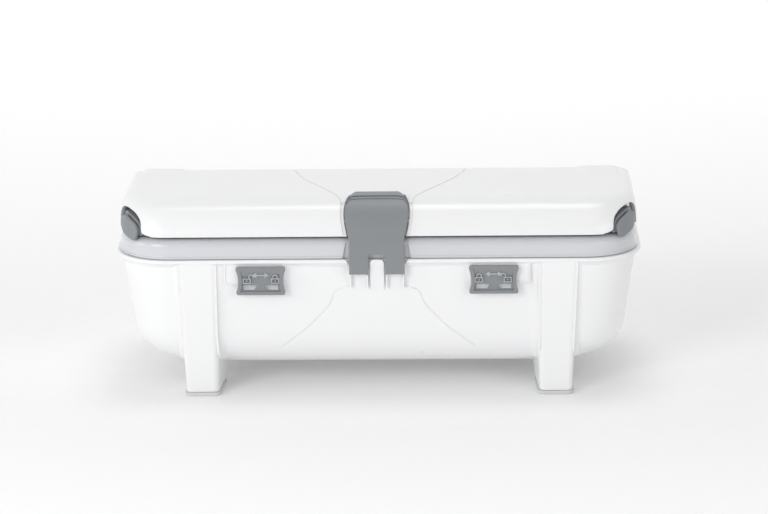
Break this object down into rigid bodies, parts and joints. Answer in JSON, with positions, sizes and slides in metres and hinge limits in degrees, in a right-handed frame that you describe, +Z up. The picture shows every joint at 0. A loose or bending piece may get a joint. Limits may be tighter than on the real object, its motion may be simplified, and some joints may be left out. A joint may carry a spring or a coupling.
{
  "type": "cling film dispenser",
  "caption": "Table-top cling film dispenser: white tub on legs, grey lift-out deck with a film roll, hinged lid with press bar, blade and sprung latch.",
  "frame": {"origin": "on the table, under the middle of the dispenser's outer box", "axes": "+X along the roll to the right seen from the front, +Y to the rear, +Z up"},
  "size_m": [0.406, 0.181, 0.1564],
  "materials": {
    "white_shell": "smooth moulded plastic, soft gloss",
    "deck_grey": "smooth moulded plastic, pale grey",
    "mid_grey": "satin moulded plastic",
    "rubber": "soft grey rubber",
    "steel": "brushed stainless steel",
    "card": "spiral wound card tube",
    "film": "tightly wound clear film"
  },
  "bodies": {
    "base": {"base_tub": "white_shell", "foot_pad_front_left": "rubber", "foot_pad_front_right": "rubber", "foot_pad_rear_left": "rubber", "foot_pad_rear_right": "rubber", "deck_frame": "deck_grey", "film_grip_strip": "rubber", "hinge_pin_left": "steel", "hinge_pin_right": "steel"},
    "lid": {"lid_shell": "white_shell", "blade_carrier": "mid_grey", "cutting_blade": "steel", "blade_screw_1": "steel", "blade_screw_2": "steel", "blade_screw_3": "steel", "blade_screw_4": "steel", "press_spring_left": "steel", "press_spring_right": "steel", "latch_pivot_pin": "steel", "latch_spring": "steel"},
    "press_bar_body": {"press_bar": "mid_grey", "press_pad": "rubber"},
    "latch": {"latch_lever": "mid_grey"},
    "left_lock": {"lock_clip_left": "mid_grey"},
    "right_lock": {"lock_clip_right": "mid_grey"},
    "roll": {"film_roll": "film", "core_tube": "card", "roll_plug_left": "mid_grey", "roll_plug_right": "mid_grey"}
  },
  "joints": [
    {"name": "lid_hinge", "type": "hinge", "parent": "base", "child": "lid", "pos_m": [0, 0.0845, 0.1245], "axis": [-1, 0, 0], "range_deg": [0, 100]},
    {"name": "press_bar_slide", "type": "slide", "parent": "lid", "child": "press_bar_body", "axis": [0, 0, 1], "range_m": [0, 0.0024], "stiffness_N_per_m": 800, "springref_m": -0.004, "deforming": ["press_spring_left", "press_spring_right"]},
    {"name": "latch_pivot", "type": "hinge", "parent": "lid", "child": "latch", "pos_m": [0, -0.0787, 0.139], "axis": [-1, 0, 0], "range_deg": [0, 7], "stiffness_Nm_per_rad": 0.25, "springref_deg": -11.46},
    {"name": "left_lock_slide", "type": "slide", "parent": "base", "child": "left_lock", "axis": [-1, 0, 0], "range_m": [0, 0.0074]},
    {"name": "right_lock_slide", "type": "slide", "parent": "base", "child": "right_lock", "axis": [1, 0, 0], "range_m": [0, 0.0074]},
    {"name": "roll_spin", "type": "hinge", "parent": "base", "child": "roll", "pos_m": [0, 0.008, 0.072], "axis": [1, 0, 0], "continuous": true}
  ]
}
